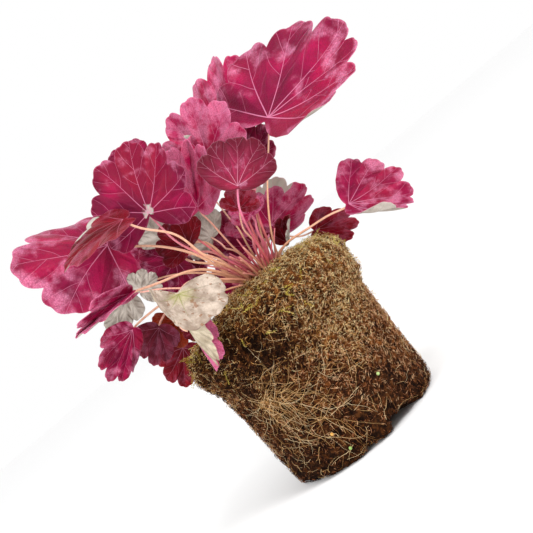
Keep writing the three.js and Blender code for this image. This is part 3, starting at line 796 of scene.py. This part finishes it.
def make_blade(leaf, materials):
    half_steps, rings = LARGE_MESH if leaf.size > LARGE_LEAF else SMALL_MESH
    ring_angles, lobes = blade_angles(leaf, half_steps)
    count = len(ring_angles)
    shares = 1 - (1 - np.arange(1, rings + 1) / rings) ** 1.15
    ring_reach = shares[:, None] * leaf.outline(ring_angles) * leaf.size
    turned = np.radians(ring_angles)
    forward = after_middle(ring_reach * np.cos(turned))
    sideways = after_middle(leaf.width * ring_reach * np.sin(turned))
    margin = after_middle(np.repeat(shares, count))
    angles = after_middle(np.tile(ring_angles, rings))
    tone = TONES_AND_PAINTED_LIGHT.get(leaf.number, RNG.random() * 0.7)
    faces = blade_faces(count, rings)
    upper = materials["plum" if leaf.number == PLUM_LEAF else leaf.color]
    lower = materials["dried_underside" if leaf.number in WITHERED_LEAVES else "underside"]
    bleach = bleached(leaf, angles, margin)
    piece = add_piece(
        f"blade_{leaf.name}", blade_sides(leaf, forward, sideways, margin), faces, [upper, lower],
        f"leaf_{leaf.color}", [f"leaf_{leaf.name}"],
        np.concatenate([np.full(len(block), number % 2) for number, block in enumerate(faces)]),
        margin=np.tile(margin, 2), tone=np.full(2 * len(margin), tone), bleach=np.tile(bleach, 2),
    )
    flat = np.stack([forward, sideways], -1) / leaf.size + leaf.index
    corners = np.concatenate([block.ravel() for block in faces]) % len(flat)
    veins = vein_places(leaf, faces, lobes, angles, after_middle(ring_reach))
    for name, places in (("leaf", flat[corners]), ("vein", veins)):
        layer = piece.data.uv_layers.new(name=name)
        layer.uv.foreach_set("vector", places.astype(np.float32).ravel())


def bleached(leaf, angles, margin):
    """How bleached each point is. The upper side turns pale where this comes near 1."""
    if leaf.number == BLEACHED_LEAF:
        return 0.95 - margin
    if leaf.number not in PALE_RIMS:
        return np.zeros_like(margin)
    first, last, start = PALE_RIMS[leaf.number]
    window = smoothstep(angles, first - 8, first) * (1 - smoothstep(angles, last, last + 8))
    return window * smoothstep(margin, start - 0.12, start + 0.12)


def vein_places(leaf, faces, lobes, angles, reach):
    """For each corner, the distance along and aside of the main vein of its face's lobe."""
    count = len(lobes)
    places = []
    for block in faces:
        side = np.repeat(np.arange(len(block)) % count, block.shape[1])
        point = block.ravel() % len(angles)
        wraps = (side == count - 1) & (angles[point] == -180)
        angle = np.where(wraps, 180, angles[point])
        places.append(np.stack(leaf.along_vein(lobes[side], angle, reach[point]), -1))
    return np.concatenate(places) / leaf.size


# === Stalks and crown ===

def stalk_path(leaf):
    """The stalk's middle line, from the crown to just under the blade."""
    behind = leaf.upward * 0.75 + leaf.midrib * 0.66
    arrive = unit(behind if leaf.enter is None else leaf.enter)
    tilt = math.sqrt(1 - (arrive @ leaf.upward) ** 2)
    clear = BLADE_THICKNESS / 2 + GAP + STALK_TIP_RADIUS * tilt
    tip = leaf.origin - leaf.upward * clear
    outward = np.array([tip[0] - CROWN_X, tip[1], 0])
    reach = min(STALK_FOOT_REACH, np.linalg.norm(outward) * 0.3)
    outward = unit(outward)
    foot = np.array([CROWN_X, 0, STALK_FOOT_HEIGHT]) + outward * reach
    length = np.linalg.norm(foot - tip)
    leave = unit(outward * (1 - leaf.rise) + np.array([0, 0, leaf.rise]))
    lower = foot + leave * length * 0.4
    upper = tip - arrive * length * 0.3
    share = np.linspace(0, 1, STALK_STEPS)[:, None]
    left = 1 - share
    return left**3 * foot + 3 * left**2 * share * lower + 3 * left * share**2 * upper + share**3 * tip


def swaying_stalk(leaf):
    """The middle line and the radii of a stalk that sways between its two ends."""
    path = stalk_path(leaf)
    share = np.linspace(0, 1, STALK_STEPS)
    ends = np.sin(np.pi * share) ** 1.5
    for wave in (1, 2, 3):
        lean = RNG.normal(size=3) * STALK_SWAY / wave
        path = path + np.outer(ends * np.sin(wave * np.pi * share + RNG.uniform(0, 6)), lean)
    radii = STALK_FOOT_RADIUS + (STALK_TIP_RADIUS - STALK_FOOT_RADIUS) * share
    return path, RNG.uniform(*STALK_SLIMMER) * radii + STALK_FLARE * np.exp(-(share / 0.06) ** 2)


def stalk_hairs(path, radii):
    """Places and directions of the short hairs on one stalk."""
    at = RNG.integers(3, len(path) - 1, HAIRS_PER_STALK)
    along = unit(np.gradient(path, axis=0))[at]
    outward = unit(np.cross(along, RNG.normal(size=(HAIRS_PER_STALK, 3))))
    slide = RNG.uniform(0, 1, (HAIRS_PER_STALK, 1)) * (path[at] - path[at - 1])
    return path[at] - slide + outward * radii[at][:, None], unit(outward + along * 0.4)


def shoot_path():
    """The middle line of one of the short young shoots that crowd the crown."""
    turn = RNG.uniform(0, 2 * np.pi)
    reach = RNG.uniform(*SHOOT_REACH)
    outward = np.array([math.cos(turn), math.sin(turn), 0])
    foot = np.array([CROWN_X, 0, STALK_FOOT_HEIGHT]) + outward * reach
    height = RNG.uniform(*SHOOT_HEIGHT)
    share = np.linspace(0, 1, SHOOT_STEPS)[:, None]
    lean = outward * RNG.uniform(0.1, 0.9) + RNG.normal(size=3) * 0.2
    return foot + height * (share * [0, 0, 1] + share**1.6 * lean * [1, 1, 0.2])


def make_stalks(leaves, material, hair):
    """All stalks and shoots in one piece, and the hairs on the stalks in another."""
    parts, shares, tones, hairs = [], [], [], []

    def grow(path, radii, top_share, least_tone):
        share = np.linspace(0, top_share, len(path))
        parts.append(tube(path, radii, STALK_SIDES))
        shares.append(np.concatenate([np.repeat(share, STALK_SIDES), [0, top_share]]))
        tones.append(np.full(len(shares[-1]), RNG.uniform(least_tone, 1)))

    for leaf in leaves:
        path, radii = swaying_stalk(leaf)
        grow(path, radii, 1, 0)
        hairs.append(stalk_hairs(path, radii))
    for _ in range(SHOOT_COUNT):
        grow(shoot_path(), np.linspace(SHOOT_FOOT_RADIUS, SHOOT_TIP_RADIUS, SHOOT_STEPS), 0.5, 0.4)
    points, faces = join(parts)
    add_piece(
        "stalks", points, faces, [material], "stalk", ["crown_with_stalks"],
        share=np.concatenate(shares), tone=np.concatenate(tones),
    )

    feet, directions = (np.concatenate(each) for each in zip(*hairs))
    lengths = HAIR_LENGTH * RNG.uniform(0.6, 1.2, len(feet))
    centres = feet + directions * lengths[:, None] * 0.4
    radii = np.full(len(feet), HAIR_RADIUS)
    points, triangles = spindles(centres, directions, centres * 0, lengths, radii)
    tones = np.repeat(RNG.random(len(feet)), SPINDLE_POINTS)
    add_piece("stalk_hairs", points, [triangles], [hair], "stalk", tone=tones)


# === Root ball ===

def lump(turn, height):
    """How far the soil stands out at a place on the wall or the collar."""
    slow = np.sin(3 * turn + 0.035 * height) + 0.8 * np.sin(5 * turn - 0.06 * height + 2)
    quick = 0.7 * np.sin(11 * turn + 0.11 * height + 1) + 0.5 * np.sin(17 * turn - 0.2 * height)
    rise = smoothstep(height, COLLAR_BOTTOM - 8, COLLAR_BOTTOM + 8)
    return (slow + quick) * (WALL_LUMP + (COLLAR_LUMP - WALL_LUMP) * rise) * 0.6


def ball_point(step, turn):
    """A place on the smooth root ball, at a distance along its profile and an angle round it."""
    radius = np.interp(step, PROFILE_STEPS, BALL_PROFILE[:, 0])
    height = np.interp(step, PROFILE_STEPS, BALL_PROFILE[:, 1])
    inner = (height >= BALL_TOP - 2) & (radius < 62)
    reach = radius + np.where(height <= 0, 0, lump(turn, height) * np.where(inner, 0.4, 1))
    reach = np.where(radius < 1, radius, reach)
    x, y = reach * np.cos(turn), reach * np.sin(turn)
    mound = MOUND_HEIGHT * np.exp(-(x**2 + y**2) / (2 * MOUND_SPREAD**2))
    lift = smoothstep(height, COLLAR_BOTTOM, BALL_TOP)
    return np.stack([x, y, height + lift * (mound + RIM_TILT * x)], -1)


def ball_frame(step, turn):
    """The place, the outward normal, and the directions round and up the surface."""
    place = ball_point(step, turn)
    up = unit(ball_point(step + 0.8, turn) - ball_point(step - 0.8, turn))
    around = unit(ball_point(step, turn + 0.012) - ball_point(step, turn - 0.012))
    return place, unit(np.cross(around, up)), around, up


def even_noise(points, scales, seed, weights=(0.5, 0.5)):
    """A sum of sine fields at random angles, as a cheap smooth noise from about -1 to 1."""
    rng = np.random.default_rng(seed)
    field = np.zeros(len(points))
    for scale, weight in zip(scales, weights):
        waves = rng.normal(size=(7, 3)) * 2 * np.pi / scale
        phases = rng.uniform(0, 2 * np.pi, 7)
        field += weight * np.sin(points @ waves.T + phases).sum(1) / 2.6
    return field


def swell(place):
    """Slow rises and dips of the surface, which are strongest on the mossy collar."""
    slow = even_noise(place, [17, 8], 3)
    return slow * (0.8 + 1.3 * smoothstep(place[:, 2], 85, 112))


def worn(place, turn):
    """Crumbles the lower edge of the ball away in places, most at the bite on the right."""
    x, y, height = np.moveaxis(place, -1, 0)
    low = 1 - smoothstep(height, 0, WORN_HEIGHT)
    chips = 0.6 * np.sin(7 * turn + 1) + 0.5 * np.sin(16 * turn + 2.4) + 0.12 * np.sin(29 * turn)
    chips = np.maximum(0, chips)
    bite = smoothstep(x, *BITE_LEFT) * smoothstep(x, *BITE_RIGHT) * smoothstep(y, *BITE_DEPTH)
    bite = bite * (1 + 0.2 * np.sin(23 * turn) + 0.12 * np.sin(61 * turn))
    lift = CHIP_HEIGHT * chips * smoothstep(np.hypot(x, y), 35, 50) + BITE_HEIGHT * bite
    shrink = 1 - low * (CHIP_SHRINK * chips + BITE_SHRINK * bite)
    return np.stack([x * shrink, y * shrink, height + low * lift], -1)


def scatter(count, low, high):
    """Seeded places on the ball between two distances along its profile, even by area."""
    step = RNG.uniform(low, high, count * 3)
    radius = np.interp(step, PROFILE_STEPS, BALL_PROFILE[:, 0])
    step = step[RNG.uniform(0, 71, len(step)) < radius][:count]
    return step, RNG.uniform(0, 2 * np.pi, len(step))


def crumb_heights(points):
    """Rounded crumbs with creases between them: 0 in a crease, 1 on the top of a high crumb."""
    count = int(2 * np.pi * 64 * TOP_END / CRUMB_SPACING**2)
    centres = ball_point(*scatter(count, 0, TOP_END))
    tall = RNG.uniform(0.35, 1, len(centres))
    tree = KDTree(len(centres))
    for index, centre in enumerate(centres):
        tree.insert(centre, index)
    tree.balance()
    heights = []
    for point in points:
        (_, nearest, first), (_, _, second) = tree.find_n(point, 2)
        heights.append(tall[nearest] * math.sqrt(min(1, (second - first) / CRUMB_SPACING * 1.5)))
    return np.array(heights)


def painted_light_and_tone(place):
    """How pale the peat is: its own slow changes of tone, and painted light and shade, paler high on the
    right where the light falls, darker in painted shade at the foot and in a painted shadow of the leaves
    on the left.
    """
    x, z = place[:, 0], place[:, 2]
    slow = even_noise(place, [60, 25], 5)
    # A painted shadow of the leaves over the left of the collar, and painted shade at the foot.
    patch = 0.6 * np.exp(-((x + 18) / 27) ** 2 - ((z - 98) / 20) ** 2)
    foot = 0.36 * (1 - smoothstep(z, 2, 48))
    return 0.52 + 0.2 * x / 60 + 0.14 * (z - 60) / 60 + 0.14 * slow - patch - foot


def make_soil(material):
    """The peat itself: the smooth root ball, roughened into crumbs and creases."""
    step, turn = grid(np.linspace(0, TOP_END - 1.5, BALL_UP), circle(BALL_AROUND) - np.pi)
    place, normal, _, _ = ball_frame(step, turn)
    crumbs = crumb_heights(place)
    rise = swell(place)
    depth = CRUMB_HEIGHT * crumbs + rise - SOIL_DEPTH
    points = worn(place + normal * depth[:, None], turn)
    points[:, 2] = np.maximum(points[:, 2], LOWEST)
    points = np.concatenate([points, [[0, 0, LOWEST], ball_point(np.array(TOP_END), 0.0)]])
    add_piece(
        "soil", points, closed_rings(BALL_UP, BALL_AROUND), [material], "soil", ["root_ball"],
        height=np.concatenate([crumbs + 0.25 * rise, [0.5, 0.5]]),
        light=np.concatenate([painted_light_and_tone(place), [0.5, 0.5]]),
    )


def moss_places(count):
    """Moss grows thick on the top and round the collar, and thins out down the wall."""
    step, turn = scatter(2 * count, COLLAR_START - 40, TOP_END - 4)
    ragged = step + 9 * np.sin(2 * turn + 4) + 5 * np.sin(5 * turn)
    share = smoothstep(ragged, COLLAR_START - 30, COLLAR_START + 22)
    keep = RNG.random(len(step)) < 0.06 + 0.94 * share
    return step[keep][:count], turn[keep][:count]


def make_fibres(name, places, lift, lengths, radius, upright, material):
    """A layer of short bent fibres that lie on the soil at random angles."""
    step, turn = places
    count = len(step)
    place, normal, around, up = ball_frame(step, turn)
    heading = RNG.uniform(0, 2 * np.pi, count)[:, None]
    direction = np.cos(heading) * around + np.sin(heading) * up
    direction = unit(direction + normal * RNG.uniform(-0.15, upright, count)[:, None])
    length = RNG.uniform(*lengths, count)
    bends = RNG.normal(size=(count, 3)) * (length * 0.05)[:, None]
    centres = worn(place + normal * (RNG.uniform(*lift, count) + swell(place))[:, None], turn)
    centres[:, 2] = np.maximum(centres[:, 2], 0.8)
    thickness = RNG.uniform(0.5, 1, count) ** 2 * radius
    points, triangles = spindles(centres, direction, bends, length, thickness)
    points[:, 2] = np.maximum(points[:, 2], 0.15)
    clumps = even_noise(place, [11, 5], 8, [0.6, 0.5])
    # Tones: random, plus the painted light and shade of the ball, plus clumps.
    tones = 1.35 * RNG.random(count) ** 2 + 1.3 * (painted_light_and_tone(place) - 0.5) + CLUMP_CONTRAST * clumps
    add_piece(name, points, [triangles], [material], "soil", tone=np.repeat(tones, SPINDLE_POINTS))


def root_starts():
    """Where each fine root starts, its heading, and its stride from one step to the next."""
    starts = []
    for angle, height, spread, strands, run in ROOT_CLUSTERS:
        for _ in range(strands):
            turn = math.radians(angle) + RNG.normal(0, spread) / WALL_RADIUS
            step = WALL_START + height + RNG.normal(0, spread)
            starts.append((step, turn, RNG.normal(-0.8, 1.4), RNG.uniform(0.3, 1) * run))
    for _ in range(ROOT_STRANDS):
        step = RNG.uniform(WALL_START, COLLAR_START + 22)
        turn, heading = RNG.uniform(-np.pi, np.pi, 2)
        starts.append((step, turn, heading, RNG.uniform(0.4, 1.6)))
    return starts


def root_path(step, turn, heading, stride):
    """The middle line of a fine root that wanders over the wall."""
    steps, turns = [], []
    for _ in range(ROOT_STEPS):
        steps.append(np.clip(step, WALL_START - 1, COLLAR_START + 26))
        turns.append(turn)
        heading += RNG.normal(0, ROOT_WANDER)
        step += stride * math.sin(heading)
        turn += stride * math.cos(heading) / WALL_RADIUS
    steps, turns = np.array(steps), np.array(turns)
    place, normal, _, _ = ball_frame(steps, turns)
    lift = 0.6 + swell(place) + 0.4 * np.sin(np.linspace(0, 9, ROOT_STEPS) + RNG.uniform(0, 6))
    path = worn(place + normal * lift[:, None], turns)
    path[:, 2] = np.maximum(path[:, 2], 0.8)
    return path


def make_roots(material):
    parts, tones = [], []
    for path in [root_path(*start) for start in root_starts()]:
        parts.append(tube(path, RNG.uniform(0.08, 0.17) * np.linspace(1, 0.4, ROOT_STEPS), 4))
        tones.append(np.full(len(parts[-1][0]), RNG.random()))
    points, faces = join(parts)
    add_piece("fine_roots", points, faces, [material], "soil", tone=np.concatenate(tones))


def make_sprigs(material):
    """Feathery moss shoots round the collar and over the rim."""
    step, turn = scatter(SPRIG_COUNT, RIM_START - 14, RIM_START + 34)
    share = np.linspace(0.1, 1, SPRIG_LEAFLETS)[:, None]
    size = LEAFLET_LENGTH * (1.1 - share[:, 0] * 0.6)
    parts, tones = [], []
    for place, normal, around, up in zip(*ball_frame(step, turn)):
        heading = RNG.uniform(0, 2 * np.pi)
        lean = math.cos(heading) * around + math.sin(heading) * up
        along = unit(normal * 0.8 + lean * 0.9)
        length = RNG.uniform(*SPRIG_LENGTH)
        stem = place + along * length * share + lean * length * 0.35 * share**2
        outward = unit(RNG.normal(size=(SPRIG_LEAFLETS, 3)) * 0.8 + along * 0.9)
        centres = stem + outward * size[:, None] * 0.4
        parts.append(spindles(centres, outward, outward * 0, size, np.full(SPRIG_LEAFLETS, 0.2)))
        tones.append(np.full(len(parts[-1][0]), RNG.random()))
    points, faces = join(parts)
    add_piece("moss_sprigs", points, faces, [material], "soil", tone=np.concatenate(tones))


def make_beads():
    level, turn = grid(np.linspace(-np.pi / 2, np.pi / 2, BEAD_RINGS + 2)[1:-1], circle(BEAD_SIDES))
    sphere = np.stack([np.cos(level) * np.cos(turn), np.cos(level) * np.sin(turn), np.sin(level)], -1)
    sphere = np.concatenate([sphere, [[0, 0, -1], [0, 0, 1]]])
    for number, (name, code) in enumerate(BEAD_COLORS.items(), 1):
        low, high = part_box(f"fertiliser_bead_{number}")
        centre = np.array((low + high) / 2) / MM
        squash = 1 + 0.05 * np.sin(3 * sphere[:, :1] + number)
        points = centre + sphere * BEAD_RADIUS * squash
        faces = closed_rings(BEAD_RINGS, BEAD_SIDES)
        material = bead_material(name, code)
        add_piece(f"bead_{number}", points, faces, [material], "bead", [f"fertiliser_bead_{number}"])


# === Stage ===

CAMERA_TARGET = Vector((19.4, 0, 136)) * MM
CAMERA_DISTANCE = 650 * MM
CAMERA_ELEVATION = 2
CAMERA_ROLL = 40
SENSOR_WIDTH = 36
MM_PER_PIXEL = 0.72
IMAGE_PIXELS = 533
# In metres, as is all that the stage holds.
FLOOR_SIZE = 16


def make_camera():
    """The camera is rolled, because the photographed plant is held at a slant."""
    elevation = math.radians(CAMERA_ELEVATION)
    roll = math.radians(CAMERA_ROLL)
    back = Vector((0, -math.cos(elevation), math.sin(elevation)))
    right = Vector((1, 0, 0))
    up = math.cos(roll) * back.cross(right) + math.sin(roll) * right
    data = bpy.data.cameras.new("camera")
    data.sensor_width = SENSOR_WIDTH
    data.lens = SENSOR_WIDTH * CAMERA_DISTANCE / (MM_PER_PIXEL * MM * IMAGE_PIXELS)
    data.clip_start = 0.01
    camera = add_object("camera", data)
    camera.matrix_world = Matrix((up.cross(back), up, back)).transposed().to_4x4()
    camera.matrix_world.translation = CAMERA_TARGET + back * CAMERA_DISTANCE
    bpy.context.scene.camera = camera


def make_light(name, place, size, power):
    data = bpy.data.lights.new(name, "AREA")
    data.shape = "DISK"
    data.size = size
    data.energy = power
    light = add_object(name, data)
    light.location = place
    light.rotation_euler = (CAMERA_TARGET - Vector(place)).to_track_quat("-Z", "Y").to_euler()


def make_stage():
    mesh = bpy.data.meshes.new("floor")
    corners = [(-1, -1, 0), (1, -1, 0), (1, 1, 0), (-1, 1, 0)]
    mesh.from_pydata([Vector(corner) * FLOOR_SIZE / 2 for corner in corners], [], [range(4)])
    mesh.materials.append(Shader("floor").finish("#fcfcfc", 0.9))
    floor = add_object("floor", mesh)
    world = bpy.data.worlds.new("studio")
    world.use_nodes = True
    world.node_tree.nodes["Background"].inputs["Color"].default_value = (1, 1, 1, 1)
    bpy.context.scene.world = world
    bpy.context.scene.view_settings.view_transform = "Standard"
    make_light("key", (0.8, -0.9, 1.2), 0.6, 16)
    make_light("fill", (-1.0, -1.2, 0.5), 0.9, 11)


# === The plant ===

def make_plant():
    leaves = [Leaf(index, *row) for index, row in enumerate(LEAVES)]
    materials = leaf_materials()
    for leaf in leaves:
        make_blade(leaf, materials)
    make_stalks(leaves, stalk_material(), hair_material())
    loose = {name: toned_material(name, *look) for name, look in FIBRE_LOOKS.items()}
    make_soil(peat_material())
    wall = scatter(PEAT_FIBRES, 0, COLLAR_START + 30)
    make_fibres("peat_fibres", wall, (-0.9, 0.5), (0.9, 5), 0.28, 0.45, loose["peat_fibre"])
    collar = moss_places(MOSS_FIBRES)
    make_fibres("moss", collar, (-0.9, 2.0), (1, 5), 0.3, 1.0, loose["moss"])
    make_sprigs(loose["moss_sprig"])
    make_roots(loose["fine_root"])
    make_beads()


make_camera()
make_plant()
make_stage()
